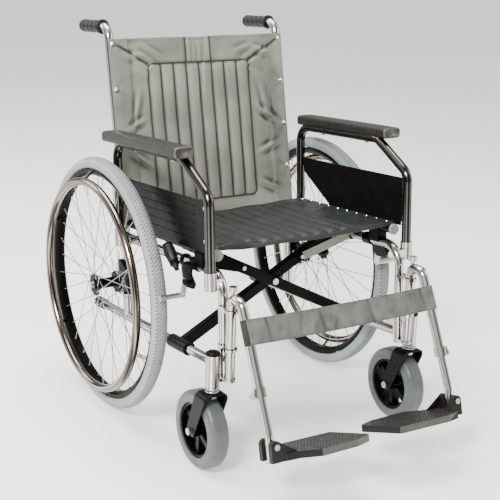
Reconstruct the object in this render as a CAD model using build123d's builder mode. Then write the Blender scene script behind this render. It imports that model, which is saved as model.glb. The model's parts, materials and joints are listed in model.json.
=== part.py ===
from build123d import *
from math import sin, cos, tan, radians, pi, sqrt
import os

os.makedirs("parts", exist_ok=True)

# Frame: X = across the chair (+X is the user's left), -Y = the way the chair faces, Z = up, floor at Z 0.
# ---- driving dimensions, mm ------------------------------------------------------------------------
AXLE_Y = 199.13         # rear axle, behind the middle of the chair's length
AXLE_Z = 305.0          # rear wheel radius
WHEEL_X = 310.4         # wheel's middle plane
TYRE_R = 18.0           # tyre section radius
RIM_R, RIM_DEEP, RIM_W = 278.0, 16.0, 26.0
HANDRIM_X, HANDRIM_R, HANDRIM_TUBE = 347.4, 249.5, 9.5
FLANGE_X, FLANGE_R, BARREL_R, AXLE_R = (277.5, 334.5), 27.0, 12.5, 6.0
SPOKES, SPOKE_R = 36, 1.0

TILT = 4.5              # rails rise towards the front
RAIL_Z = 202.0          # lower rail above the floor, under the rear axle
RAIL_X = 237.0          # side frame tubes' plane
TUBE_R, WALL = 11.0, 1.6
SEAT_V, UPPER_V = 242.0, 205.0          # seat rail and upper side tube, above the lower rail
FRONT_U, CANE_U = -449.0, 17.0          # front upright and back cane, along the rails
ARM_X = 263.0           # arm frame plane
RUN = 0.05              # running fit, radial

BAR_H, BAR_D = 25.0, 20.0               # cross tube section
BAR_U = {"a": -254.0, "b": -275.0}      # the two cross tubes, along the rails
LINK_P = 98.6                           # stay link's bolt, from the cross pivot along the bar
LINK_T = 5.0

CASTOR_X, STEM_Y, CASTOR_Y = 270.0, -454.0, -414.0
CASTOR_R, CASTOR_W = 88.0, 44.0
PIVOT_X, PIVOT_Y = 240.0, -475.0        # hanger's upright pivot
HANG_R = 11.0
HINGE_X, HINGE_Y, HINGE_Z = 240.0, -639.0, 138.0
TOE_UP = 15.0

# ---- sketch planes ---------------------------------------------------------------------------------
c, s = cos(radians(TILT)), sin(radians(TILT))
SIDE = Plane((0, AXLE_Y, 0), x_dir=(0, 1, 0), z_dir=(1, 0, 0))              # y behind the axle, z
RAILS = Plane((0, AXLE_Y, RAIL_Z), x_dir=(0, c, -s), z_dir=(1, 0, 0))       # u rearward, v up
CROSS = Plane((0, AXLE_Y, RAIL_Z), x_dir=(1, 0, 0), z_dir=(0, -c, s))       # x, v; offset = -u
LEVEL = Plane((0, AXLE_Y, 0))                                               # x, y; offset = z

pieces = {}


def keep(piece, name):
    piece.label = name
    pieces[name] = piece


def uv(u, v):
    """Rail coordinates to (y behind the axle, z)."""
    return u * c + v * s, RAIL_Z - u * s + v * c


def sweep_round(plane, points, radius, bend=40.0, mode=Mode.ADD):
    """Sweep a disc along a bent centre line drawn in `plane`."""
    with BuildLine(plane) as path:
        if len(points) > 2:
            FilletPolyline(*points, radius=bend)
        else:
            Line(*points)
    with BuildSketch(Plane(path.line @ 0, z_dir=path.line % 0)) as disc:
        Circle(radius)
    sweep(disc.sketch, path=path.line, mode=mode)


def rod(start, end, radius, mode=Mode.ADD):
    """A straight round bar between two points."""
    a, b = Vector(start), Vector(end)
    with BuildSketch(Plane(a, z_dir=b - a)) as disc:
        Circle(radius)
    extrude(disc.sketch, amount=(b - a).length, mode=mode)


def slab(plane, outline, thick, mode=Mode.ADD, soften=0.0):
    """Extrude a closed outline drawn in `plane`."""
    with BuildSketch(plane) as flat:
        with BuildLine():
            Polyline(*outline, close=True)
        make_face()
        if soften:
            fillet(flat.vertices(), soften)
    extrude(flat.sketch, amount=thick, mode=mode)


def at(x, y, z):
    return (x, AXLE_Y + y, z)


# ---- side frame: lower rail, upper tube with front upright, back cane, sockets, castor housing ------
cane_top, cane_bend = (129.5, 898.0), (34.0, 440.0)
grip_tail = (262.0, 889.0)
cane_path = [uv(CANE_U, 0), cane_bend, cane_top, grip_tail]
upper_path = [(CANE_U, UPPER_V), (FRONT_U, UPPER_V), (FRONT_U, -25)]
lower_path = [(FRONT_U, 0), (188, 0)]
sockets = {"front": (-442.0, 172.0, 212.0), "rear": (-8.0, 190.0, 230.0)}

with BuildPart() as side_frame:
    sweep_round(SIDE.offset(RAIL_X), cane_path, TUBE_R, bend=[140, 30])
    sweep_round(RAILS.offset(RAIL_X), upper_path, TUBE_R, bend=46)
    sweep_round(RAILS.offset(RAIL_X), lower_path, TUBE_R)
    slab(RAILS.offset(RAIL_X - 2), [(FRONT_U, 0), (FRONT_U + 58, 0), (FRONT_U, 62)], 4)
    for u, low, high in sockets.values():                       # arm sockets and their webs
        sweep_round(RAILS.offset(ARM_X), [(u, low), (u, high)], TUBE_R + 2.6)
        slab(RAILS.offset(RAIL_X), [(u - 8, low + 4), (u + 12, low + 4), (u + 12, low + 24), (u - 8, low + 24)],
             ARM_X - RAIL_X)
    rod(at(CASTOR_X, STEM_Y, 203), at(CASTOR_X, STEM_Y, 276), 15.5)
    for z in (212, 258):                                        # webs to the castor housing
        with BuildSketch(LEVEL.offset(z)):
            with Locations(((RAIL_X + CASTOR_X) / 2, STEM_Y + 2)):
                Rectangle(CASTOR_X - RAIL_X, 17)
        extrude(amount=8)
    for z in (286, 372):                                        # hanger lugs
        with BuildSketch(LEVEL.offset(z)):
            with Locations((PIVOT_X, PIVOT_Y)):
                Circle(15)
            with Locations((PIVOT_X - 1, PIVOT_Y + 19)):
                Rectangle(24, 36)
        extrude(amount=6)
    with BuildSketch(LEVEL.offset(217)):                        # shelf under the hanger
        with Locations((PIVOT_X, PIVOT_Y)):
            Circle(13)
        with Locations((PIVOT_X - 1, (PIVOT_Y + STEM_Y) / 2 + 4)):
            Rectangle(22, 24)
    extrude(amount=7)
    for z in (286, 372):
        rod(at(PIVOT_X, PIVOT_Y, z - 2), at(PIVOT_X, PIVOT_Y, z + 8), HANG_R + 0.4, Mode.SUBTRACT)
    sweep_round(SIDE.offset(RAIL_X), cane_path, TUBE_R - WALL, bend=[140, 30], mode=Mode.SUBTRACT)
    sweep_round(RAILS.offset(RAIL_X), [(CANE_U, UPPER_V), (FRONT_U, UPPER_V), (FRONT_U, -26)],
                TUBE_R - WALL - 0.1, bend=46, mode=Mode.SUBTRACT)
    sweep_round(RAILS.offset(RAIL_X), [(FRONT_U, 0), (190, 0)], TUBE_R - WALL + 0.1, mode=Mode.SUBTRACT)
    for u, low, high in sockets.values():
        sweep_round(RAILS.offset(ARM_X), [(u, low + 2), (u, high + 1)], TUBE_R + RUN, mode=Mode.SUBTRACT)
    rod(at(CASTOR_X, STEM_Y, 202), at(CASTOR_X, STEM_Y, 270), 8 + RUN, Mode.SUBTRACT)
    rod(at(PIVOT_X, PIVOT_Y, 220), at(PIVOT_X, PIVOT_Y, 352), 6)   # hanger pivot post
keep(side_frame.part, "side_frame")

# ---- axle bracket on the cane, with the wheel's axle -------------------------------------------------
with BuildPart() as axle_bracket:
    slab(SIDE.offset(249), [(-17, 281), (30, 262), (38, 262), (38, 348), (30, 348), (-17, 329)], 7, soften=3)
    for z in (270, 340):                                        # saddles gripping the cane
        rod(at(RAIL_X, 17 + (z - 250) * 0.09, z - 8), at(RAIL_X, 17 + (z - 234) * 0.09, z + 8), 14)
    with BuildSketch(SIDE.offset(249)):
        with Locations((0, AXLE_Z)):
            Circle(AXLE_R + RUN)
    extrude(amount=7, mode=Mode.SUBTRACT)
    sweep_round(SIDE.offset(RAIL_X), cane_path, TUBE_R + 0.02, bend=[140, 30], mode=Mode.SUBTRACT)
keep(axle_bracket.part, "axle_bracket")

with BuildPart() as wheel_axle:
    rod(at(241, 0, AXLE_Z), at(345, 0, AXLE_Z), AXLE_R)
    with BuildSketch(SIDE.offset(241)):
        with Locations((0, AXLE_Z)):
            RegularPolygon(9.5, 6)
    extrude(amount=7.9)
    rod(at(256.1, 0, AXLE_Z), at(271.5, 0, AXLE_Z), 8.5)
    with BuildSketch(SIDE.offset(339.2)):
        with Locations((0, AXLE_Z)):
            Circle(8.5)
    extrude(amount=8, taper=12)
keep(wheel_axle.part, "wheel_axle")

# ---- saddles the seat rail drops into ----------------------------------------------------------------
with BuildPart() as seat_saddles:
    for u in (-368, -92):
        with BuildSketch(CROSS.offset(-u - 16)):
            with Locations((RAIL_X, 222)):
                RectangleRounded(28, 36, 4)
        extrude(amount=32)
    sweep_round(RAILS.offset(RAIL_X), [(-420, UPPER_V), (-40, UPPER_V)], TUBE_R + 0.02, mode=Mode.SUBTRACT)
    with BuildSketch(CROSS.offset(20)):
        with Locations((RAIL_X, SEAT_V)):
            Circle(TUBE_R + 0.4)
        with Locations((RAIL_X, SEAT_V + 15)):
            Rectangle(2 * (TUBE_R + 0.4), 30)
    extrude(amount=420, mode=Mode.SUBTRACT)
keep(seat_saddles.part, "seat_saddles")

# ---- push grip and tipping cap -----------------------------------------------------------------------
grip_dir = (Vector(0, *grip_tail) - Vector(0, *cane_top)).normalized()
grip_end = Vector(*at(RAIL_X, *grip_tail)) + grip_dir * 5
with BuildPart() as push_grip:
    with BuildSketch(Plane(grip_end - grip_dir * 110, z_dir=grip_dir)):
        Circle(15.5)
    extrude(amount=110)
    chamfer(push_grip.faces().sort_by(Axis.Y)[-1].edges(), 2.5)
    with BuildSketch(Plane(grip_end - grip_dir * 111, z_dir=grip_dir)):
        Circle(TUBE_R + 0.02)
    extrude(amount=106.5, mode=Mode.SUBTRACT)
keep(push_grip.part, "push_grip")

with BuildPart() as tipping_cap:
    with BuildSketch(CROSS.offset(-196)):
        with Locations((RAIL_X, 0)):
            Circle(13.5)
    extrude(amount=44)
    chamfer(tipping_cap.faces().sort_by(Axis.Y)[-1].edges(), 2)
    with BuildSketch(CROSS.offset(-188.2)):
        with Locations((RAIL_X, 0)):
            Circle(TUBE_R + 0.02)
    extrude(amount=44, mode=Mode.SUBTRACT)
keep(tipping_cap.part, "tipping_cap")

# ---- rear wheel --------------------------------------------------------------------------------------
WHEEL_AXIS = Axis(at(0, 0, AXLE_Z), (1, 0, 0))
SECTION = Plane(at(0, 0, AXLE_Z), x_dir=(1, 0, 0), z_dir=(0, -1, 0))        # x across, y outward


def ring(outline):
    with BuildSketch(SECTION) as profile:
        with BuildLine():
            Polyline(*outline, close=True)
        make_face()
    revolve(profile.sketch, axis=WHEEL_AXIS)


with BuildPart() as tyre:
    with BuildSketch(SECTION):
        with Locations((WHEEL_X, AXLE_Z - TYRE_R)):
            Circle(TYRE_R)
        with Locations((WHEEL_X, RIM_R - 15)):
            Rectangle(60, 30, mode=Mode.SUBTRACT)
    revolve(axis=WHEEL_AXIS)
keep(tyre.part, "tyre")

with BuildPart() as rim:
    ring([(WHEEL_X - 13, RIM_R), (WHEEL_X - 13, RIM_R - 8), (WHEEL_X - 8, RIM_R - 16), (WHEEL_X + 8, RIM_R - 16),
          (WHEEL_X + 13, RIM_R - 8), (WHEEL_X + 13, RIM_R), (WHEEL_X + 10.5, RIM_R), (WHEEL_X + 10.5, RIM_R - 7),
          (WHEEL_X + 6.5, RIM_R - 13.5), (WHEEL_X - 6.5, RIM_R - 13.5), (WHEEL_X - 10.5, RIM_R - 7),
          (WHEEL_X - 10.5, RIM_R)])
keep(rim.part, "rim")

with BuildPart() as hub:
    rod(at(272, 0, AXLE_Z), at(339, 0, AXLE_Z), BARREL_R)
    for x in FLANGE_X:
        with BuildSketch(SIDE.offset(x - 1.7)):
            with Locations((0, AXLE_Z)):
                Circle(FLANGE_R)
                with PolarLocations(FLANGE_R + 1.5, 9, start_angle=10):
                    Circle(4.2, mode=Mode.SUBTRACT)
        extrude(amount=3.4)
    rod(at(270, 0, AXLE_Z), at(340, 0, AXLE_Z), AXLE_R + RUN, Mode.SUBTRACT)
keep(hub.part, "hub")

with BuildPart() as spokes:
    for k in range(SPOKES):
        side = 1 if k % 2 else -1                               # outer or inner flange
        lead = 1 if (k // 2) % 2 else -1                        # leading or trailing
        hole = 2 * pi * k / SPOKES
        seat = hole + lead * radians(62)
        x0 = FLANGE_X[(side + 1) // 2] + lead * 3.9 + side * 0.7
        y0, z0 = 24.5 * cos(seat), 24.5 * sin(seat)
        r1 = RIM_R - RIM_DEEP - 0.6
        y1, z1 = r1 * cos(hole), r1 * sin(hole)
        rod(at(x0, y0, AXLE_Z + z0), at(WHEEL_X + side * 2.5 + lead * 1.2, y1, AXLE_Z + z1), SPOKE_R)
keep(spokes.part, "spokes")

with BuildPart() as handrim:
    with BuildSketch(SECTION):
        with Locations((HANDRIM_X, HANDRIM_R)):
            Circle(HANDRIM_TUBE)
    revolve(axis=WHEEL_AXIS)
    for k in range(6):
        a = radians(60 * k + 22)
        rod(at(WHEEL_X + 14.6, 270.5 * cos(a), AXLE_Z + 270.5 * sin(a)),
            at(HANDRIM_X - 3, 252 * cos(a), AXLE_Z + 252 * sin(a)), 4)
keep(handrim.part, "handrim")

# ---- castor ------------------------------------------------------------------------------------------
with BuildPart() as bow:
    with BuildSketch(Plane(at(CASTOR_X, -390, 0), x_dir=(1, 0, 0), z_dir=(0, -1, 0))):
        with Locations((0, 130)):
            RectangleRounded(59, 120, 13)
        with Locations((0, 120)):
            RectangleRounded(52, 132, 9.5, mode=Mode.SUBTRACT)
    extrude(amount=90)
with BuildPart() as side_view:
    with BuildSketch(SIDE.offset(CASTOR_X - 40)):
        with BuildLine():
            Polyline((-473, 192), (-435, 192), (-400, 96), (-428, 80), (-470, 170), close=True)
        make_face()
        with Locations((CASTOR_Y, CASTOR_R)):
            Circle(14.5)
    extrude(amount=80)
with BuildPart() as castor_fork:
    add(bow.part & side_view.part)
    rod(at(CASTOR_X, STEM_Y, 186), at(CASTOR_X, STEM_Y, 269.4), 8)
    rod(at(CASTOR_X, STEM_Y, 189), at(CASTOR_X, STEM_Y, 202.6), 15)
    with BuildSketch(LEVEL.offset(177)):
        with Locations((CASTOR_X, STEM_Y)):
            RegularPolygon(10.5, 6)
    extrude(amount=9.5)
    for dx in (-30, 25):
        rod(at(CASTOR_X + dx, CASTOR_Y, CASTOR_R), at(CASTOR_X + dx + 5, CASTOR_Y, CASTOR_R), 6.02, Mode.SUBTRACT)
keep(castor_fork.part, "castor_fork")

with BuildPart() as castor_axle:
    rod(at(CASTOR_X - 36, CASTOR_Y, CASTOR_R), at(CASTOR_X + 36, CASTOR_Y, CASTOR_R), 6)
    for dx in (-36, 29.6):
        with BuildSketch(SIDE.offset(CASTOR_X + dx)):
            with Locations((CASTOR_Y, CASTOR_R)):
                RegularPolygon(9, 6)
        extrude(amount=6.4)
keep(castor_axle.part, "castor_axle")

CASTOR_AXIS = Axis(at(0, CASTOR_Y, CASTOR_R), (1, 0, 0))
CASTOR_SECTION = Plane(at(0, CASTOR_Y, CASTOR_R), x_dir=(1, 0, 0), z_dir=(0, -1, 0))
with BuildPart() as castor_tyre:
    with BuildSketch(CASTOR_SECTION) as section:
        with Locations((CASTOR_X, 75)):
            Rectangle(CASTOR_W, 26)
        fillet(section.vertices().group_by(Axis.Y)[-1], 12)
    revolve(axis=CASTOR_AXIS)
keep(castor_tyre.part, "castor_tyre")

with BuildPart() as castor_rim:
    with BuildSketch(CASTOR_SECTION):
        with Locations((CASTOR_X, 59)):
            Rectangle(36, 6)
        with Locations((CASTOR_X, 10)):
            Rectangle(48, 10)
    revolve(axis=CASTOR_AXIS)
    with BuildSketch(SIDE.offset(CASTOR_X - 11)):
        for k in range(6):
            a = radians(60 * k + 30)
            with Locations(Location((CASTOR_Y + 36 * cos(a), CASTOR_R + 36 * sin(a)), 60 * k + 30)):
                Rectangle(46, 13)
    extrude(amount=22)
    rod(at(CASTOR_X - 30, CASTOR_Y, CASTOR_R), at(CASTOR_X + 30, CASTOR_Y, CASTOR_R), 6 + RUN, Mode.SUBTRACT)
keep(castor_rim.part, "castor_rim")

# ---- swing-away hanger, telescoping stem, flip-up footplate ------------------------------------------
hang_low, hang_knee = (-600.0, 228.0), (-514.5, 404.0)
hang_dir = (Vector(0, *hang_low) - Vector(0, *hang_knee)).normalized()
with BuildPart() as hanger:
    sweep_round(SIDE.offset(PIVOT_X), [(PIVOT_Y, 224.4), (PIVOT_Y, 404), hang_knee, hang_low], HANG_R,
                bend=[17, 17])
    low = Vector(*at(PIVOT_X, *hang_low))
    rod(low - hang_dir * 22, low, 14)                           # clamp
    with BuildSketch(Plane(low - hang_dir * 20 + Vector(12, 0, 0), z_dir=hang_dir)):
        Rectangle(14, 10)
    extrude(amount=16)
    rod(low - hang_dir * 120, low + hang_dir * 2, 9 + 0.02, Mode.SUBTRACT)
    rod(at(PIVOT_X, PIVOT_Y, 220), at(PIVOT_X, PIVOT_Y, 354), 6 + RUN, Mode.SUBTRACT)
    rod(at(PIVOT_X, PIVOT_Y - 4, 410), at(PIVOT_X, PIVOT_Y - 4, 421), 4)        # release button
    rod(at(PIVOT_X, PIVOT_Y - 4, 419), at(PIVOT_X, PIVOT_Y - 4, 430), 9)
keep(hanger.part, "hanger")

stem_path = [(hang_low[0] - hang_dir.Y * 60, hang_low[1] - hang_dir.Z * 60), (-634.0, 158.0), (-648.0, 104.0)]
with BuildPart() as footrest_stem:
    sweep_round(SIDE.offset(PIVOT_X), stem_path, 9, bend=40)
    pin = Vector(0, -cos(radians(TOE_UP)), sin(radians(TOE_UP)))
    hinge = Vector(*at(HINGE_X, HINGE_Y, HINGE_Z))
    rod(hinge - pin * 28.6, hinge + pin * 28.6, 4)
    for end in (-1, 1):
        rod(hinge + pin * (25.4 * end), hinge + pin * (28.6 * end), 6.5)
keep(footrest_stem.part, "footrest_stem")

FOOT = Plane(at(0, HINGE_Y, HINGE_Z), x_dir=(1, 0, 0), z_dir=(0, sin(radians(TOE_UP)), cos(radians(TOE_UP))))


def foot_plate(turn):
    """The plate with its two hinge lugs. Both sides use one plate, so on the right it is turned end for end."""
    outline = [(222, -48), (186, -56), (58, -50), (17, 40), (60, 56), (150, 58), (190, 32), (222, 27)]
    with BuildPart() as made:
        slab(FOOT.offset(-32), [(x, turn * y) for x, y in outline], 15, soften=6)
        for low, high, foot in ((13, 25, 222), (20, 25, 190), (-25, -13, 212)):
            with BuildSketch(Plane(hinge - pin * max(turn * low, turn * high), x_dir=(1, 0, 0), z_dir=pin)) as cheek:
                with BuildLine():
                    Polyline((12.4, -32), (12.4, 0), (5, 11.4), (-5, 11.4), (foot - HINGE_X, -17.5),
                             (foot - HINGE_X, -32), close=True)
                make_face()
                Circle(12.5)
            extrude(cheek.sketch, amount=high - low)
        rod(hinge - pin * 26, hinge + pin * 26, 4 + RUN, Mode.SUBTRACT)
    return made.part


keep(foot_plate(1), "footplate")

# ---- wheel lock --------------------------------------------------------------------------------------
LEVER = (-342.0, 404.0)
SHOE_PIVOT = (-322.0, 400.0)
SHOE = (-315.5, 366.5)
clamp_u = -338.0
cy, cz = uv(clamp_u, UPPER_V)
with BuildPart() as brake_bracket:
    with BuildSketch(CROSS.offset(-clamp_u - 13)):
        with Locations((RAIL_X, UPPER_V)):
            Circle(14.5)
        with Locations((RAIL_X + 14, UPPER_V)):
            Rectangle(24, 14)
    extrude(amount=26)
    slab(SIDE.offset(260), [(cy - 22, cz + 6), (cy - 22, cz - 14), (-360, 402), (-354, 390), (-322, 386), (-308, 398),
                            (cy + 20, cz - 8), (cy + 20, cz + 6)], 5, soften=3)
    sweep_round(RAILS.offset(RAIL_X), [(-400, UPPER_V), (-300, UPPER_V)], TUBE_R + 0.02, mode=Mode.SUBTRACT)
    rod(at(264, *LEVER), at(277, *LEVER), 4)
    rod(at(264, *SHOE_PIVOT), at(272, *SHOE_PIVOT), 4)
    rod(at(276.5, *LEVER), at(279.5, *LEVER), 6.5)
keep(brake_bracket.part, "brake_bracket")

with BuildPart() as brake_lever:
    lever_path = [(-342, 404), (-300, 432), (-268, 466)]
    slab(SIDE.offset(272.4), [(-352, 396), (-344, 392), (-334, 396), (-302, 423), (-288, 436), (-297, 446),
                              (-338, 416), (-350, 412)], 3.6, soften=3)
    rod(at(281, -312, 424), at(281, -290, 445), 5)
    rod(at(281, -302, 433.7), at(281, -264, 469.6), 11)
    rod(at(274, -304, 431), at(281, -304, 431), 3.5)
    rod(at(270, *LEVER), at(278, *LEVER), 4 + RUN, Mode.SUBTRACT)
keep(brake_lever.part, "brake_lever")

with BuildPart() as brake_shoe:
    slab(SIDE.offset(265.8), [(-331, 402), (-322, 409), (-313, 402), (-307, 367), (-315, 358), (-323, 364)], 3.4,
         soften=3)
    rod(at(266, *SHOE), at(324, *SHOE), 6)
    rod(at(263, *SHOE_PIVOT), at(272, *SHOE_PIVOT), 4 + RUN, Mode.SUBTRACT)
keep(brake_shoe.part, "brake_shoe")

# ---- lift-out armrest --------------------------------------------------------------------------------
arm_path = [(-442, 176), (-442, 372), (-330, 441), (-8, 441), (-8, 194)]
with BuildPart() as arm_frame:
    sweep_round(RAILS.offset(ARM_X), arm_path, TUBE_R, bend=[34, 34, 40])
    sweep_round(RAILS.offset(ARM_X), arm_path, TUBE_R - WALL, bend=[34, 34, 40], mode=Mode.SUBTRACT)
keep(arm_frame.part, "arm_frame")

with BuildPart() as arm_pad:
    with BuildSketch(CROSS.offset(4)):
        with Locations((ARM_X + 14, 457)):
            RectangleRounded(50, 27, 6)
    extrude(amount=364)
    sweep_round(RAILS.offset(ARM_X), arm_path, TUBE_R + 0.02, bend=[34, 34, 40], mode=Mode.SUBTRACT)
keep(arm_pad.part, "arm_pad")

with BuildPart() as side_guard:
    slab(RAILS.offset(ARM_X - 1.5), [(-432, 262), (-424, 256), (-140, 252), (-30, 322), (-18, 350), (-18, 360),
                                     (-432, 360)], 3)
    for k in range(5):
        v = 272 + 18 * k
        with BuildSketch(RAILS.offset(ARM_X + 1.4)):
            with Locations((-255, v)):
                Rectangle(250, 3.2)
        extrude(amount=1.6)
    sweep_round(RAILS.offset(ARM_X), arm_path, TUBE_R + 0.02, bend=[34, 34, 40], mode=Mode.SUBTRACT)
keep(side_guard.part, "side_guard")

# ---- mirror every side piece to the user's right -----------------------------------------------------
for name, piece in list(pieces.items()):
    del pieces[name]
    other = mirror(piece, about=Plane.YZ)
    keep(piece, "left_" + name)
    keep(other, "right_" + name)
keep(mirror(foot_plate(-1), about=Plane.YZ), "right_footplate")

# ---- folding cross: bar A hinges on the right lower rail and carries the left seat rail; bar B the rest --
half = sqrt(RAIL_X ** 2 + (SEAT_V / 2) ** 2)
for tag, sign, foot in (("a", 1, "left"), ("b", -1, "right")):
    u = BAR_U[tag]
    with BuildPart() as cross_tube:
        with BuildLine() as axis_line:
            Line(CROSS.offset(-u).from_local_coords((-sign * RAIL_X, 0)),
                 CROSS.offset(-u).from_local_coords((sign * RAIL_X, SEAT_V)))
        with BuildSketch(Plane(axis_line.line @ 0, x_dir=(0, c, -s), z_dir=axis_line.line % 0)):
            RectangleRounded(BAR_D, BAR_H, 3)
        extrude(amount=2 * half)
        sweep_round(RAILS.offset(-sign * RAIL_X), [(u - 40, 0), (u + 40, 0)], TUBE_R + 5)
        with BuildSketch(Plane(axis_line.line @ 0 + (axis_line.line % 0) * 24, x_dir=(0, c, -s),
                               z_dir=axis_line.line % 0)):
            Rectangle(BAR_D - 4, BAR_H - 4)
        extrude(amount=2 * half, mode=Mode.SUBTRACT)
        sweep_round(RAILS.offset(-sign * RAIL_X), [(u - 42, 0), (u + 42, 0)], TUBE_R + RUN, mode=Mode.SUBTRACT)
        sweep_round(RAILS.offset(sign * RAIL_X), [(u - 42, SEAT_V), (u + 42, SEAT_V)], TUBE_R + 0.02,
                    mode=Mode.SUBTRACT)
        with BuildSketch(CROSS.offset(-u - 15)):
            with Locations((sign * (RAIL_X + 20), SEAT_V + 6)):
                Rectangle(46, 60)
        extrude(amount=30, mode=Mode.SUBTRACT)
        with BuildSketch(CROSS.offset(-u - 15)):
            with Locations((0, SEAT_V / 2)):
                Circle(5 + RUN)
        extrude(amount=30, mode=Mode.SUBTRACT)
    keep(cross_tube.part, "cross_tube_" + tag)

    with BuildPart() as seat_rail:
        sweep_round(RAILS.offset(sign * RAIL_X), [(-425, SEAT_V), (-16, SEAT_V)], TUBE_R)
        sweep_round(RAILS.offset(sign * RAIL_X), [(-424, SEAT_V), (-15, SEAT_V)], TUBE_R - WALL, mode=Mode.SUBTRACT)
        sweep_round(RAILS.offset(sign * RAIL_X), [(-431, SEAT_V), (-424, SEAT_V)], TUBE_R + 1.2)
    keep(seat_rail.part, foot + "_seat_rail")

    with BuildPart() as seat_screws:
        for k in range(10):
            with BuildSketch(Plane(RAILS.offset(sign * RAIL_X).from_local_coords((-402 + 38.5 * k, SEAT_V + 15.4)),
                                   x_dir=(1, 0, 0), z_dir=(0, s, c))):
                Circle(4.6)
            extrude(amount=2.4, taper=20)
    keep(seat_screws.part, foot + "_seat_screws")

    link_u = u - BAR_D / 2 - 0.4 - LINK_T                       # front face of the link
    bolt_x, bolt_v = LINK_P * RAIL_X / half, SEAT_V / 2 + LINK_P * SEAT_V / 2 / half
    with BuildPart() as stay_link:
        with BuildSketch(CROSS.offset(-link_u - LINK_T)):
            with Locations((sign * bolt_x, bolt_v)):
                Circle(11)
            with Locations((sign * RAIL_X, UPPER_V)):
                Circle(TUBE_R + 4.5)
            dx, dv = RAIL_X - bolt_x, UPPER_V - bolt_v
            long = sqrt(dx * dx + dv * dv)
            with Locations(Location((sign * (bolt_x + RAIL_X) / 2, (bolt_v + UPPER_V) / 2),
                                    sign * 57.29578 * (dv / dx - (dv / dx) ** 3 / 3))):
                Rectangle(long, 21)
        extrude(amount=LINK_T)
        sweep_round(RAILS.offset(sign * RAIL_X), [(link_u - 8, UPPER_V), (link_u + 20, UPPER_V)], TUBE_R + RUN,
                    mode=Mode.SUBTRACT)
        with BuildSketch(CROSS.offset(-link_u - 0.1)):
            with Locations((sign * bolt_x, bolt_v)):
                Circle(6)
        extrude(amount=3.2, taper=15)
    keep(stay_link.part, foot + "_stay_link")

with BuildPart() as cross_pivot:
    front, back = -BAR_U["b"] + BAR_D / 2, -BAR_U["a"] - BAR_D / 2
    with BuildSketch(CROSS.offset(back - 7)):
        with Locations((0, SEAT_V / 2)):
            Circle(5)
    extrude(amount=front - back + 12)
    with BuildSketch(CROSS.offset(front + 0.4)):
        with Locations((0, SEAT_V / 2)):
            Circle(8.5)
    extrude(amount=4.6, taper=12)
    with BuildSketch(CROSS.offset(back - 8)):
        with Locations((0, SEAT_V / 2)):
            RegularPolygon(8.5, 6)
    extrude(amount=7.6)
keep(cross_pivot.part, "cross_pivot")

# ---- upholstery and calf strap -----------------------------------------------------------------------
with BuildPart() as seat_upholstery:
    top = [(-247, SEAT_V + 15), (-225, SEAT_V + 14.5), (-150, SEAT_V + 9), (150, SEAT_V + 9), (225, SEAT_V + 14.5),
           (247, SEAT_V + 15)]
    with BuildSketch(CROSS.offset(32)):
        with BuildLine():
            Polyline(*top, *[(x, v - 3.4) for x, v in reversed(top)], close=True)
        make_face()
    extrude(amount=392)
keep(seat_upholstery.part, "seat_upholstery")

up = (Vector(0, *cane_top) - Vector(0, *cane_bend)).normalized()
BACK = Plane(at(0, *cane_bend), x_dir=(1, 0, 0), z_dir=Vector(0, -up.Z, up.Y))      # x, up the canes
with BuildPart() as back_upholstery:
    with BuildSketch(BACK.offset(TUBE_R + 0.6)):
        with Locations((0, 222)):
            RectangleRounded(486, 436, 10)
    extrude(amount=4)
keep(back_upholstery.part, "back_upholstery")

STRAP = Plane(at(0, -541.5, 349), x_dir=(1, 0, 0), z_dir=Vector(0, hang_dir.Z, -hang_dir.Y))
with BuildPart() as calf_strap:
    with BuildSketch(STRAP.offset(HANG_R + 0.5)):
        RectangleRounded(500, 54, 3)
    extrude(amount=2.5)
keep(calf_strap.part, "calf_strap")

for name, piece in pieces.items():
    export_step(piece, f"parts/{name}.step")
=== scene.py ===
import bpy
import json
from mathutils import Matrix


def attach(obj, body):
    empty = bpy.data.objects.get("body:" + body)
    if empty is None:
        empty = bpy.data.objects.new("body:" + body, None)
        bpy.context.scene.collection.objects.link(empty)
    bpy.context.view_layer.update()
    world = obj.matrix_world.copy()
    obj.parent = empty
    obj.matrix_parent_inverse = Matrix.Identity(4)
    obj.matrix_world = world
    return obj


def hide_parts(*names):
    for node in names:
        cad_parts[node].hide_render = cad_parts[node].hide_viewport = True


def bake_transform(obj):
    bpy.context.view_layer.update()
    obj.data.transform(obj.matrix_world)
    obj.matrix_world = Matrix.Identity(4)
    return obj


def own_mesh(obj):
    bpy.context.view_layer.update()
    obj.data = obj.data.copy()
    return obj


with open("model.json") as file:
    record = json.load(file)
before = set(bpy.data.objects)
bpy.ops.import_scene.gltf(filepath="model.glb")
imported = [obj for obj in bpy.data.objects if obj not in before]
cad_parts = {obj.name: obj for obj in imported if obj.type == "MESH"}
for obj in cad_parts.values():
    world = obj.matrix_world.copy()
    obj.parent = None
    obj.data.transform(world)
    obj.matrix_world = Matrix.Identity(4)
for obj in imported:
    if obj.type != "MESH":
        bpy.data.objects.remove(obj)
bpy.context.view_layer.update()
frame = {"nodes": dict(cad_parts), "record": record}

import bpy
import json
import numpy as np
from math import sin, cos, pi, radians, sqrt
from mathutils import Vector, Matrix

nodes = frame["nodes"]
SIDES = (("left", 1), ("right", -1))
AY = 0.19913                                   # rear axle, behind the row's origin
RAIL_Z = 202                                   # mm, the lower rail's height at the rear axle
RAIL_X, CROSS_RISE = 237, 121                  # mm, the rails' half spacing, and the cross hinge above the lower rail
CASTOR_X, CASTOR_Y = 270, -454                 # mm, the castor housing
BACK_SCREWS = (426, 318, 208, 98)              # mm up the cane
STRAP_HALF = 27                                # mm, half the calf strap's width
C, S = cos(radians(4.5)), sin(radians(4.5))
SCREW_TILT = Vector((0, S, C))


def rails(x, u, v):
    """Rail coordinates in millimetres to a point in metres."""
    return Vector((x, AY * 1000 + u * C + v * S, RAIL_Z - u * S + v * C)) / 1000


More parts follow.
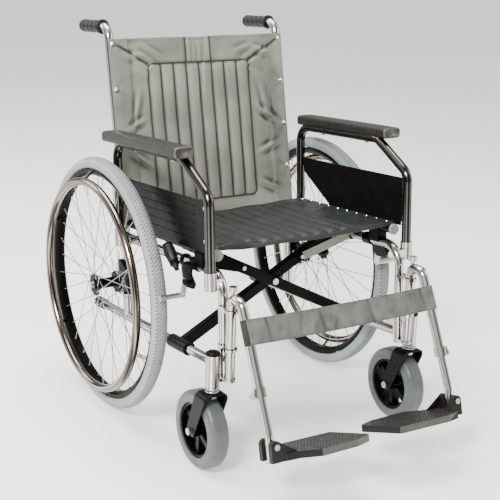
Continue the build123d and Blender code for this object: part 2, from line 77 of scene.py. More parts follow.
def at(x, y, z):
    """Millimetres, y behind the axle, to metres."""
    return Vector((x / 1000, AY + y / 1000, z / 1000))


def rail_uv(p):
    """A point in metres to rail coordinates in millimetres."""
    y, z = (p[1] - AY) * 1000, p[2] * 1000 - RAIL_Z
    return y * C - z * S, y * S + z * C


# ---- camera, lights, world --------------------------------------------------------------------------
az, el, roll = radians(-32.4), radians(16.79), radians(1.87)
back = Vector((sin(az) * cos(el), -cos(az) * cos(el), sin(el)))
right = Vector((cos(az), sin(az), 0))
up = back.cross(right)
r2, u2 = right * cos(roll) + up * sin(roll), up * cos(roll) - right * sin(roll)
cam_data = bpy.data.cameras.new("camera")
cam_data.lens, cam_data.sensor_width = 81.75, 36
camera = bpy.data.objects.new("camera", cam_data)
bpy.context.scene.collection.objects.link(camera)
m = Matrix((r2, u2, back)).transposed().to_4x4()
m.translation = Vector((-1.4054, -2.3759 + AY, 1.1821))
camera.matrix_world = m
bpy.context.scene.camera = camera


def area(name, place, aim, size, power, colour=(1, 1, 1)):
    data = bpy.data.lights.new(name, "AREA")
    data.shape, data.size, data.size_y, data.energy, data.color = "RECTANGLE", size[0], size[1], power, colour
    light = bpy.data.objects.new(name, data)
    bpy.context.scene.collection.objects.link(light)
    light.location = place
    light.rotation_euler = (Vector(aim) - Vector(place)).to_track_quat("-Z", "Y").to_euler()


area("key", (-2.7, -2.0, 2.9), (0, 0, 0.45), (1.0, 0.9), 250)
area("fill", (3.0, -1.4, 2.0), (0, 0, 0.5), (1.2, 1.8), 22)
area("top", (-0.4, 0.8, 3.4), (0, 0, 0.3), (2.4, 2.4), 190)
area("rim", (-1.6, 2.8, 1.8), (0, 0, 0.5), (1.2, 1.6), 30)
world = bpy.data.worlds.new("studio")
bpy.context.scene.world = world
world.use_nodes = True
world.node_tree.nodes["Background"].inputs[0].default_value = (1, 1, 1, 1)
world.node_tree.nodes["Background"].inputs[1].default_value = 0.66


# ---- materials --------------------------------------------------------------------------------------
def shader(name, colour, rough, metal, vary, spots, grain, grain_scale, rough_vary, ior=1.5, marks_and_painted_shade=None,
           cells=False, wear=0.0, painted_reflection=0.0, knurl=0.0, spec=0.5):
    """A procedural finish: mottled colour and roughness, fine bump, darker marks and painted shade where a piece
    carries them, and painted reflection where asked.
    """
    made = bpy.data.materials.new(name)
    made.use_nodes = True
    tree = made.node_tree
    new, link = tree.nodes.new, tree.links.new
    bsdf = tree.nodes["Principled BSDF"]
    put = bsdf.inputs
    put["Metallic"].default_value = metal
    put["IOR"].default_value = ior
    put["Specular IOR Level"].default_value = spec

    def mixed(base, other, factor, mode="MIX"):
        """The base colour mixed with another, where the other and the factor are sockets or plain values."""
        mix = new("ShaderNodeMix")
        mix.data_type, mix.blend_type = "RGBA", mode
        link(base, mix.inputs["A"])
        for key, value in (("Factor", factor), ("B", other)):
            if isinstance(value, bpy.types.NodeSocket):
                link(value, mix.inputs[key])
            else:
                mix.inputs[key].default_value = value
        return mix.outputs["Result"]

    place = new("ShaderNodeTexCoord")
    noise = new("ShaderNodeTexNoise")
    noise.inputs["Scale"].default_value = spots
    noise.inputs["Detail"].default_value = 5
    link(place.outputs["Object"], noise.inputs["Vector"])
    ramp = new("ShaderNodeValToRGB")
    low, high = ramp.color_ramp.elements
    low.position, high.position = 0.3, 0.7
    low.color = (*[max(0, c * (1 - vary)) for c in colour], 1)
    high.color = (*[min(1, c * (1 + vary)) for c in colour], 1)
    link(noise.outputs["Fac"], ramp.inputs["Fac"])
    out = ramp.outputs["Color"]
    # darker marks and painted shade: a value per point, from the mesh, mixes in the darker colour
    if marks_and_painted_shade is not None:
        mark = new("ShaderNodeAttribute")
        mark.attribute_name = "marks_and_painted_shade"
        out = mixed(out, (*marks_and_painted_shade, 1), mark.outputs["Fac"])
    if wear:
        geo = new("ShaderNodeNewGeometry")
        spread = new("ShaderNodeMapRange")
        spread.inputs["From Min"].default_value, spread.inputs["From Max"].default_value = 0.52, 0.62
        spread.inputs["To Max"].default_value = wear
        link(geo.outputs["Pointiness"], spread.inputs["Value"])
        rubbed = (*[min(1, c * 2.2 + 0.012) for c in colour], 1)
        out = mixed(out, rubbed, spread.outputs["Result"])
    # painted reflection: a ramp on the surface's direction darkens the colour in stripes, standing in for the dark
    # reflections a chrome tube shows
    if painted_reflection:
        turn = new("ShaderNodeTexNoise")
        turn.inputs["Scale"].default_value = 1.9
        turn.inputs["Detail"].default_value = 1.5
        link(place.outputs["Normal"], turn.inputs["Vector"])
        painted_reflection_bands = new("ShaderNodeValToRGB")
        painted_reflection_bands.color_ramp.elements[0].position, painted_reflection_bands.color_ramp.elements[1].position = 0.44, 0.56
        painted_reflection_bands.color_ramp.elements[0].color = (*[1 - painted_reflection] * 3, 1)
        link(turn.outputs["Fac"], painted_reflection_bands.inputs["Fac"])
        out = mixed(out, painted_reflection_bands.outputs["Color"], 1, "MULTIPLY")
    link(out, put["Base Color"])
    smudge = new("ShaderNodeTexNoise")
    smudge.inputs["Scale"].default_value = spots * 2.3
    smudge.inputs["Detail"].default_value = 6
    link(place.outputs["Object"], smudge.inputs["Vector"])
    span = new("ShaderNodeMapRange")
    span.inputs["From Min"].default_value, span.inputs["From Max"].default_value = 0.3, 0.7
    span.inputs["To Min"].default_value = max(0.02, rough - rough_vary)
    span.inputs["To Max"].default_value = min(1, rough + rough_vary)
    link(smudge.outputs["Fac"], span.inputs["Value"])
    link(span.outputs["Result"], put["Roughness"])
    if grain:
        fine = new("ShaderNodeTexVoronoi" if cells else "ShaderNodeTexNoise")
        fine.inputs["Scale"].default_value = grain_scale
        link(place.outputs["Object"], fine.inputs["Vector"])
        bump = new("ShaderNodeBump")
        bump.inputs["Strength"].default_value = grain
        bump.inputs["Distance"].default_value = 0.0006
        link(fine.outputs["Distance" if cells else "Fac"], bump.inputs["Height"])
        link(bump.outputs["Normal"], put["Normal"])
        if knurl:
            last = bump
            for turned_by in (0.62, -0.95):
                turner = new("ShaderNodeMapping")
                turner.inputs["Rotation"].default_value = (0, 0, turned_by)
                link(place.outputs["Object"], turner.inputs["Vector"])
                wave = new("ShaderNodeTexWave")
                wave.inputs["Scale"].default_value = 48
                link(turner.outputs["Vector"], wave.inputs["Vector"])
                ridge = new("ShaderNodeBump")
                ridge.inputs["Strength"].default_value = knurl
                ridge.inputs["Distance"].default_value = 0.0012
                link(wave.outputs["Fac"], ridge.inputs["Height"])
                link(last.outputs["Normal"], ridge.inputs["Normal"])
                last = ridge
                out = mixed(out, wave.outputs["Color"], 0.9, "MULTIPLY")
            link(out, put["Base Color"])
            link(last.outputs["Normal"], put["Normal"])
    return made


# Metals given a painted reflection value get dark reflection stripes painted into their colour; the darker colours
# given to vinyl, rubber and tyres are for stitched seams, smudges, and painted shade in grooves, folds and hollows.
MAT = {
    "chrome_tube": shader("chrome", (0.8, 0.765, 0.715), 0.15, 1.0, 0.04, 30, 0.03, 700, 0.05, painted_reflection=0.72),
    "dark_tube": shader("dark_chrome", (0.16, 0.15, 0.14), 0.14, 1.0, 0.1, 30, 0.03, 700, 0.05, painted_reflection=0.9),
    "black_paint": shader("black_paint", (0.0018, 0.0018, 0.0018), 0.26, 0.0, 0.3, 60, 0.08, 800, 0.06,
                          spec=0.07, wear=0.3),
    "steel": shader("zinc", (0.66, 0.65, 0.61), 0.28, 1.0, 0.08, 120, 0.06, 900, 0.08, painted_reflection=0.5),
    "screw_chrome": shader("screw", (0.72, 0.71, 0.67), 0.22, 1.0, 0.06, 150, 0.04, 900, 0.06, painted_reflection=0.6),
    "black_plastic": shader("black_plastic", (0.0022, 0.0022, 0.0022), 0.34, 0.0, 0.3, 90, 0.2, 1100, 0.1, spec=0.09),
    "grip_rubber": shader("grip_rubber", (0.006, 0.0056, 0.0052), 0.46, 0.0, 0.35, 90, 0.35, 1300, 0.1,
                          spec=0.3, marks_and_painted_shade=(0.003, 0.003, 0.003)),
    "grey_tyre": shader("tyre_rubber", (0.285, 0.315, 0.305), 0.7, 0.0, 0.1, 26, 0.3, 900, 0.1,
                        marks_and_painted_shade=(0.012, 0.013, 0.013)),
    "grey_castor": shader("castor_rubber", (0.08, 0.089, 0.083), 0.42, 0.0, 0.12, 40, 0.25, 900, 0.1,
                          marks_and_painted_shade=(0.05, 0.05, 0.05)),
    "wheel_black": shader("wheel_black", (0.0022, 0.0019, 0.0016), 0.28, 0.0, 0.3, 50, 0.08, 900, 0.08,
                          spec=0.05, wear=0.1),
    "spoke_steel": shader("spoke_steel", (0.32, 0.32, 0.31), 0.3, 1.0, 0.15, 200, 0.05, 900, 0.08),
    "handrim_metal": shader("handrim", (0.36, 0.3, 0.25), 0.17, 1.0, 0.06, 25, 0.03, 700, 0.05, painted_reflection=0.88),
    "black_plastic_gloss": shader("castor_plastic", (0.0018, 0.0018, 0.0018), 0.24, 0.0, 0.3, 60, 0.12, 1000, 0.08,
                                  spec=0.09),
    "dark_grey_plastic": shader("footplate", (0.006, 0.0056, 0.0048), 0.38, 0.0, 0.2, 60, 0.25, 900, 0.08,
                                spec=0.14, wear=0.5),
    "pad_vinyl": shader("pad_vinyl", (0.018, 0.0165, 0.0148), 0.4, 0.0, 0.3, 60, 0.5, 1300, 0.08,
                        spec=0.22, marks_and_painted_shade=(0.005, 0.005, 0.005), cells=True),
    "guard_plastic": shader("guard", (0.0045, 0.0044, 0.004), 0.25, 0.0, 0.3, 30, 0.04, 500, 0.05, spec=0.045),
    "rail_paint": shader("rail_paint", (0.002, 0.002, 0.002), 0.3, 0.0, 0.3, 60, 0.1, 800, 0.08, spec=0.08),
    "seat_vinyl": shader("seat_vinyl", (0.0165, 0.0192, 0.0186), 0.33, 0.0, 0.25, 18, 0.4, 1100, 0.07,
                         spec=0.3, marks_and_painted_shade=(0.004, 0.0045, 0.0045), cells=True),
    "back_vinyl": shader("back_vinyl", (0.208, 0.208, 0.171), 0.34, 0.0, 0.24, 11, 0.45, 1100, 0.07,
                         spec=0.5, marks_and_painted_shade=(0.022, 0.022, 0.0175), cells=True),
    "strap_vinyl": shader("strap_vinyl", (0.122, 0.123, 0.108), 0.5, 0.0, 0.34, 42, 0.5, 1500, 0.08,
                          ior=1.4, marks_and_painted_shade=(0.03, 0.03, 0.027), cells=True),
}
HOOK = shader("hook_pile", (0.025, 0.025, 0.024), 0.8, 0.0, 0.4, 300, 0.8, 2200, 0.05, ior=1.35)
PALE_CAP = shader("pale_cap", (0.19, 0.2, 0.175), 0.55, 0.0, 0.1, 80, 0.2, 900, 0.08)
PAD_END = shader("pad_end", (0.06, 0.056, 0.047), 0.4, 0.0, 0.15, 80, 0.3, 900, 0.08, marks_and_painted_shade=(0.01, 0.01, 0.01))
PALE_STEEL = shader("link_steel", (0.3, 0.29, 0.25), 0.45, 0.4, 0.08, 80, 0.1, 900, 0.08)
FOOT_FRONT = shader("foot_edge", (0.06, 0.057, 0.048), 0.42, 0.0, 0.15, 60, 0.3, 900, 0.08)
KNURL = shader("foot_knurl", (0.05, 0.046, 0.038), 0.4, 0.0, 0.2, 60, 0.2, 900, 0.08, spec=0.25, knurl=1.0)
FLOOR = shader("floor", (0.93, 0.93, 0.93), 0.75, 0.0, 0.004, 2, 0.02, 60, 0.05)
floor_sockets = FLOOR.node_tree.nodes["Principled BSDF"].inputs
floor_sockets["Emission Color"].default_value = (1, 1, 1, 1)
floor_sockets["Emission Strength"].default_value = 0.5

slots = {s["node"]: s["material_slot"] for s in frame["record"]["subparts"]}
for name, node in nodes.items():
    node.data.materials.clear()
    node.data.materials.append(MAT[slots[name]])


def repaint(node, finish, inside):
    """Give the faces of a CAD node whose middle passes `inside` another finish."""
    mesh = nodes[node].data
    mesh.materials.append(finish)
    index = len(mesh.materials) - 1
    for face in mesh.polygons:
        if inside(face.center * 1000, face.normal):
            face.material_index = index


# ---- mesh helpers -----------------------------------------------------------------------------------
def build(name, points, faces, finish, smooth=True, marks_and_painted_shade=None):
    """A mesh object from points in metres, with a value per point for darker marks and painted shade where one is
    given.
    """
    mesh = bpy.data.meshes.new(name)
    mesh.from_pydata([tuple(p) for p in points], [], [tuple(int(i) for i in f) for f in faces])
    mesh.materials.append(finish)
    if marks_and_painted_shade is not None:
        mark = mesh.attributes.new("marks_and_painted_shade", "FLOAT", "POINT")
        mark.data.foreach_set("value", np.asarray(marks_and_painted_shade, np.float32).ravel())
    mesh.polygons.foreach_set("use_smooth", [smooth] * len(mesh.polygons))
    mesh.update()
    piece = bpy.data.objects.new(name, mesh)
    bpy.context.scene.collection.objects.link(piece)
    return piece


def grid_faces(n, k, wrap_n=False, wrap_k=False, flip=False, base=0):
    """The quads of an n by k grid of points, closed around either way if asked."""
    i, j = np.meshgrid(np.arange(n if wrap_n else n - 1), np.arange(k if wrap_k else k - 1), indexing="ij")
    i, j = i.ravel(), j.ravel()
    i2, j2 = (i + 1) % n, (j + 1) % k
    quad = np.stack([i * k + j, i2 * k + j, i2 * k + j2, i * k + j2], 1) + base
    return quad[:, ::-1] if flip else quad


def turned(name, profile, origin, direction, finish, segments=48, marks_and_painted_shade=None, ripple=None):
    """A closed turned piece: profile is (along, radius) in mm from one end on the axis to the other."""
    d = Vector(direction).normalized()
    a = d.orthogonal().normalized()
    b = d.cross(a)
    pts, marks = [], []
    for n, (t, r) in enumerate(profile):
        for k in range(segments):
            q = 2 * pi * k / segments
            rr = r * (ripple(t, q) if ripple else 1.0)
            pts.append(Vector(origin) + d * (t / 1000) + (a * cos(q) + b * sin(q)) * (rr / 1000))
            marks.append(marks_and_painted_shade[n] if marks_and_painted_shade else 0.0)
    faces = [tuple(f) for f in grid_faces(len(profile), segments, wrap_k=True)]
    faces.append(tuple(range(segments))[::-1])
    faces.append(tuple(range((len(profile) - 1) * segments, len(profile) * segments)))
    return build(name, pts, faces, finish, True, marks if marks_and_painted_shade else None)


def cloth(name, front, thick, finish, marks_and_painted_shade):
    """A closed sheet from a grid of front points (mm) and a thickness (mm)."""
    n, k, _ = front.shape
    du = np.gradient(front, axis=0)
    dv = np.gradient(front, axis=1)
    normal = np.cross(du, dv)
    normal /= np.linalg.norm(normal, axis=2, keepdims=True)
    rear = front - normal * thick
    pts = np.concatenate([front.reshape(-1, 3), rear.reshape(-1, 3)]) / 1000
    a = grid_faces(n, k)
    b = grid_faces(n, k, flip=True, base=n * k)
    edge = ([(i, 0) for i in range(n)] + [(n - 1, j) for j in range(1, k)]
            + [(i, k - 1) for i in range(n - 2, -1, -1)] + [(0, j) for j in range(k - 2, 0, -1)])
    loop = [i * k + j for i, j in edge]
    rim = [(q, p, p + n * k, q + n * k) for p, q in zip(loop, loop[1:] + loop[:1])]
    faces = [tuple(f) for f in a] + [tuple(f) for f in b] + rim
    return build(name, pts, faces, finish, True, np.concatenate([marks_and_painted_shade.ravel(), marks_and_painted_shade.ravel()]))


def ripples(x, y, seed, size):
    """Smooth, repeatable unevenness between about -1 and 1."""
    rng = np.random.default_rng(seed)
    total = np.zeros_like(x)
    for _ in range(9):
        a = rng.uniform(0, 2 * pi)
        f = 2 * pi / (size * rng.uniform(0.6, 1.8))
        total += np.sin((x * cos(a) + y * sin(a)) * f + rng.uniform(0, 6.28))
    return total / 4.5


def bell(d, w):
    """1 at no distance, falling smoothly over the width w."""
    return np.exp(-(d / w) ** 2)


def segment_distance(x, y, a, b):
    """Distance from the segment a-b, and how far along it the nearest point lies, 0 to 1."""
    ax, ay, bx, by = *a, *b
    t = np.clip(((x - ax) * (bx - ax) + (y - ay) * (by - ay)) / ((bx - ax) ** 2 + (by - ay) ** 2), 0, 1)
    return np.hypot(x - ax - t * (bx - ax), y - ay - t * (by - ay)), t


def cavity(relief, reach, depth):
    """How far each point lies below its surroundings, 0 to 1."""
    soft = relief
    for axis in (0, 1):
        for _ in range(3):
            soft = sum(np.roll(soft, k, axis) for k in range(-reach, reach + 1)) / (2 * reach + 1)
    return np.clip((soft - relief) / depth, 0, 1)


def quilt(x, y, low, high, radius):
    """Relief and darker marks of the sewn, bordered panel of eight channels: stitched seams, and painted shade in the
    channel valleys.
    """
    half, pitch = 144, 36
    cy, hy = (low + high) / 2, (high - low) / 2
    qx, qy = np.abs(x) - half + radius, np.abs(y - cy) - hy + radius
    d = np.hypot(np.maximum(qx, 0), np.maximum(qy, 0)) + np.minimum(np.maximum(qx, qy), 0) - radius
    inside = 1 / (1 + np.exp(d / 1.2))
    wave = np.abs(np.sin(pi * (x + half) / pitch))
    ends = 1 - np.exp(-np.clip(-d, 0, None) / 7)
    relief = inside * (8.2 * wave ** 0.7 * ends - 2.8)
    relief -= 2.4 * bell(d, 2.0) + 0.7 * bell(d - 5.5, 1.3)
    relief += 1.2 * (1 - inside) * (1 - np.exp(-np.clip(d, 0, None) / 9))
    # stitched seams, and a wide darkening across each channel valley that is painted shade; the terms on d mark the
    # border's stitching
    seams_and_valley_shade = inside * (0.8 * np.clip(1 - wave * 7, 0, 1) + 0.28 * np.clip(1 - wave * 2.4, 0, 1))
    return relief, np.clip(seams_and_valley_shade + 0.85 * bell(d, 1.8) + 0.25 * bell(d - 5.5, 1.0), 0, 1)


# ---- back upholstery --------------------------------------------------------------------------------
BEND, TOP = np.array((0.0, 34.0, 440.0)), np.array((0.0, 129.5, 898.0))
up_cane = (TOP - BEND) / np.linalg.norm(TOP - BEND)
out_back = np.array((0.0, -up_cane[2], up_cane[1]))
bx, by = np.meshgrid(np.linspace(-243, 243, 244), np.linspace(-8, 439, 224), indexing="ij")
relief, mark = quilt(bx, by - 4, 27, 372, 14)
sling = -11 * (1 - (np.abs(bx) / 243) ** 2.2)
relief += 1.3 * ripples(bx, by, 4, 150) * np.clip((243 - np.abs(bx)) / 60, 0, 1)
# pleats at the top; their colour marks are painted shade in the fold and on one side of it
for xp, lean in ((-34, 1), (36, -1)):
    band = 1 / (1 + np.exp(-(by - 376) / 1.5))
    relief += band * (-3.6 * bell(bx - xp, 2.4) + 3.8 * bell(bx - xp - lean * 8, 6)
                      + 2.0 * bell(bx - xp + lean * 10, 7))
    mark += band * (0.55 * bell(bx - xp, 2.2) + 0.3 * bell(bx - xp + lean * 5, 7))
relief += 1.6 * np.sin(bx / 2.6) * bell(by - 388, 26) * bell(bx, 26)
for xp, depth, reach in ((-6, 3.2, 130), (14, 2.6, 90), (-22, 2.0, 70), (34, 1.8, 60)):
    fall = np.clip((374 - by) / reach, 0, 1)
    relief += (depth * (bell(bx - xp - 6 * fall * np.sin(by / 26), 4.5) - 0.5) * (1 - fall) * (by < 374)
               * bell(bx - xp, 22))
for s in (-1, 1):
    # diagonal folds from the panel's top corners; the colour mark along each is painted shade in the fold
    d, t = segment_distance(bx, by, (s * 144, 376), (s * 238, 432))
    relief += -4.4 * bell(d, 4.0) * (1 - 0.5 * t) + 3.6 * bell(d - 11, 7) * (1 - 0.85 * t)
    mark += 0.3 * bell(d, 2.6) * (1 - 0.4 * t)
    d, t = segment_distance(bx, by, (s * 150, 350), (s * 215, 300 if s > 0 else 372))
    relief += 3.0 * bell(d, 8) * (1 - t)
    for start, stop, size in (((150, 402), (214, 392), 2.6), ((158, 250), (222, 214), 3.0),
                              ((152, 130), (226, 172), 2.6), ((150, 60), (216, 36), 2.8),
                              ((96, 388), (160, 420), 2.2), ((168, 330), (196, 214), 2.4)):
        d, t = segment_distance(bx, by, (s * start[0], start[1] + 6 * s), (s * stop[0], stop[1] - 5 * s))
        relief += 1.35 * size * (bell(d, 6) - 0.8 * bell(d - 12, 7)) * np.sin(pi * np.clip(t, 0.03, 0.97))
    for k, sy in enumerate(BACK_SCREWS):
        r = np.hypot(bx - s * 236, by - sy)
        a = np.arctan2(by - sy, (bx - s * 236) * -s)
        relief += -1.6 * bell(r, 6) + 2.3 * np.sin(4 * a + k) * np.exp(-r / 38) * (1 - bell(r, 8))
    fold = 196 + 10 * np.sin(by / 70 + s)
    relief += s * 1.6 * bell(bx - s * fold, 9) * np.clip(by / 200, 0.2, 1)
# painted shade: darker strips near x = +200 mm and, weaker, near x = -214 mm, towards the side margins
mark += 0.3 * bell(bx - 200, 24) + 0.14 * bell(bx + 214, 20)
relief *= np.clip((243.5 - np.abs(bx)) / 24, 0, 1) ** 0.6
relief -= 1.0 * bell(by - 431, 1.4)
# painted shade in the hollows of the relief, plus an even darkening and random tone
mark += 0.7 * cavity(relief, 5, 3.0) + 0.06 + 0.12 * ripples(bx, by, 21, 150)
lift = 14.4 + sling + relief
edge = np.clip((np.abs(bx) - 176) / 24, 0, 1)
lift = np.maximum(lift, 14.3 * edge * edge * (3 - 2 * edge))
hump = np.zeros(bx.shape + (3,)) + BEND + by[..., None] * up_cane + lift[..., None] * out_back
hump[..., 0] = bx
hump[..., 1] += AY * 1000
hump += (1.5 * ripples(bx, by, 8, 220) * bell(by - 439, 60))[..., None] * up_cane * 0.6
back_piece = cloth("back_sling", hump, 2.6, MAT["back_vinyl"], np.clip(mark, 0, 1))
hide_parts("back_upholstery")
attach(back_piece, "right_frame")

# ---- seat -------------------------------------------------------------------------------------------
sx, sy = np.meshgrid(np.linspace(-246, 246, 247), np.linspace(0, 391, 197), indexing="ij")
relief, mark = quilt(sx, sy, 20, 366, 8)
relief = relief * 0.9 + 1.2 * ripples(sx, sy, 3, 120) * np.clip((246 - np.abs(sx)) / 50, 0, 1)
for s in (-1, 1):
    for k, start in enumerate((60, 150, 255, 330)):
        d, t = segment_distance(sx, sy, (s * 232, start), (s * 158, start + (26 if k % 2 else -34)))
        relief += 1.5 * bell(d, 6) * (1 - t) - 0.8 * bell(d - 9, 5) * (1 - t)
d, t = segment_distance(sx, sy, (-222, 6), (-120, 24))
relief += 5.4 * bell(d, 7) * np.sin(pi * np.clip(t, 0.02, 0.98)) - 2.2 * bell(d - 14, 6)
d, t = segment_distance(sx, sy, (-226, 20), (-150, 60))
relief += 2.2 * bell(d, 6) * (1 - t)
relief -= 1.3 * bell(sy - 17, 2.0)
mark += 0.5 * bell(sy - 17, 1.5)
relief += 2.4 * bell(sy - 8, 6)
relief *= np.clip((246.5 - np.abs(sx)) / 9, 0, 1) ** 0.5
# painted shade in the hollows of the relief, plus an even darkening
mark += 0.6 * cavity(relief, 4, 2.4) + 0.04
sag = -8 * (1 - (np.abs(sx) / 240) ** 2) * (0.8 + 0.2 * np.sin(pi * sy / 391))
height = 257.2 + sag + relief - 0.05 * np.clip(11 - sy, 0, 11) ** 2
height = np.where(np.abs(sx) > 224, np.maximum(height, 256.6 - 0.03 * np.clip(11 - sy, 0, 11) ** 2), height)
u = -424 + sy
top = np.stack([sx, AY * 1000 + u * C + height * S, RAIL_Z - u * S + height * C], -1)
seat_piece = cloth("seat_sling", top, 2.4, MAT["seat_vinyl"], np.clip(mark, 0, 1))
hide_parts("seat_upholstery")
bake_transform(seat_piece)

# ---- calf strap -------------------------------------------------------------------------------------
knee, low_end = Vector((0, -514.5, 404.0)), Vector((0, -600.0, 228.0))
hang = (low_end - knee).normalized()
ahead = np.array((0.0, hang.z, -hang.y))
tx, ty = np.meshgrid(np.linspace(-246, 246, 200), np.linspace(-STRAP_HALF, STRAP_HALF, 28), indexing="ij")
relief = 0.7 * ripples(tx, ty, 5, 90) - 5 * (1 - (tx / 246) ** 2)
mark = 0.12 + 0.12 * ripples(tx, ty * 0.4, 6, 60)
for k, xp in enumerate((-196, -118, -60, -26, 70, 164, 214)):
    d = tx - xp - ty * 0.25 * (1 if k % 2 else -0.6)
    relief += (1.5 if k % 2 else -1.7) * bell(d, 5 + k % 3)
    mark += 0.5 * bell(d, 5) * (0.5 + 0.5 * np.sin(ty / 14 + k))
# lines near both edges, and painted shade in the hollows of the relief
mark += 0.3 * bell(np.abs(ty) - 25, 1.2) + 0.3 * cavity(relief, 3, 1.4)
centre = np.array((0.0, -541.5 + AY * 1000, 349.0))
droop = -3.0 * (1 - (tx / 246) ** 2)
face = centre + tx[..., None] * np.array((1.0, 0, 0)) + (ty + droop)[..., None] * -np.array(hang) \
    + (15.2 + np.maximum(relief, -9))[..., None] * ahead
strap = cloth("calf_band", face, 1.8, MAT["strap_vinyl"], np.clip(mark, 0, 1))
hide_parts("calf_strap")
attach(strap, "right_hanger_body")

for side, s in SIDES:
    origin = Vector((s * 0.240, AY - 0.5415, 0.349))
    tube = [(-STRAP_HALF, 11.15), (-STRAP_HALF, 12.1), (STRAP_HALF, 12.1), (STRAP_HALF, 11.15)]
    k = 40
    wrap = turned(f"{side}_strap_wrap", tube, origin, hang, HOOK, k)
    faces = [p.vertices[:] for p in wrap.data.polygons if len(p.vertices) == 4]
    ring = [v.co.copy() for v in wrap.data.vertices]
    faces += [(3 * k + i, 3 * k + (i + 1) % k, (i + 1) % k, i) for i in range(k)]
    bpy.data.objects.remove(wrap)
    wrap = build(f"{side}_strap_wrap", ring, faces, HOOK)
    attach(wrap, f"{side}_hanger_body")

for side, s in SIDES:
    origin = at(s * 240, -600, 228) - hang * 0.006
    knob = turned(f"{side}_stem_knob", [(11.5, 0.5), (11.5, 3.2), (15, 3.2), (15.3, 6.4), (16, 7.0), (20.5, 7.0),
                                        (21.4, 6.2), (21.4, 0.5)], origin, Vector((s, 0, 0)), MAT["steel"], 28)
    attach(knob, f"{side}_hanger_body")

for side, s in SIDES:
    across = (s * 257.6, s * 262.4)
    spine = [rails(across[k], u, v) for u, low in ((-424, 248.5), (-280, 248), (-146, 247.5))
             for k, v in ((0, low), (1, low), (1, low + 8.5), (0, low + 8.5))]
    skin = [tuple(f) for f in grid_faces(3, 4, wrap_k=True)] + [(0, 1, 2, 3), (11, 10, 9, 8)]
    bead = build(f"{side}_guard_bead", spine, skin, MAT["guard_plastic"], False)
    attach(bead, f"{side}_arm")

# ---- arm pads ---------------------------------------------------------------------------------------
for side, s in SIDES:
    n, rings = 56, []
    length = np.concatenate([[0, 0.5, 1.5, 3.5, 5.2, 6.2, 7.2, 9], np.linspace(14, 350, 40), [357, 361, 363.2, 364]])
    for t in length:
        end = min(t, 364 - t)
        shrink = 1 - 0.16 * np.exp(-end / 1.6) - (0.06 * np.exp(-((t - 6.2) / 0.8) ** 2))
        crown = 1.5 * sin(pi * min(1, t / 364)) ** 0.5
        row = []
        for k in range(n):
            q = 2 * pi * k / n
            e = 0.42
            x = 24.8 * np.sign(cos(q)) * abs(cos(q)) ** e * shrink
            z = 13.2 * np.sign(sin(q)) * abs(sin(q)) ** e * shrink
            if z > 0:
                z += crown * (1 - (x / 25) ** 2) - 1.2
            row.append(rails(s * (277 + x), -372 + t + 4, 457 + z))
        rings.append(row)
    pts = [p for row in rings for p in row]
    faces = [tuple(f) for f in grid_faces(len(rings), n, wrap_k=True, flip=s < 0)]
    faces += [tuple(range(n))[::-s], tuple(range((len(rings) - 1) * n, len(rings) * n))[::s]]
    marks = [1.0 if abs(t - 6.2) < 0.8 or abs(t - 357.5) < 1 else 0.0 for t in length for _ in range(n)]
    pad = build(f"{side}_pad", pts, faces, MAT["pad_vinyl"], True, marks)
    pad.data.materials.append(PAD_END)
    for f in pad.data.polygons:
        if min(f.vertices) // n < 5:
            f.material_index = 1
    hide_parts(f"{side}_arm_pad")
    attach(pad, f"{side}_arm")

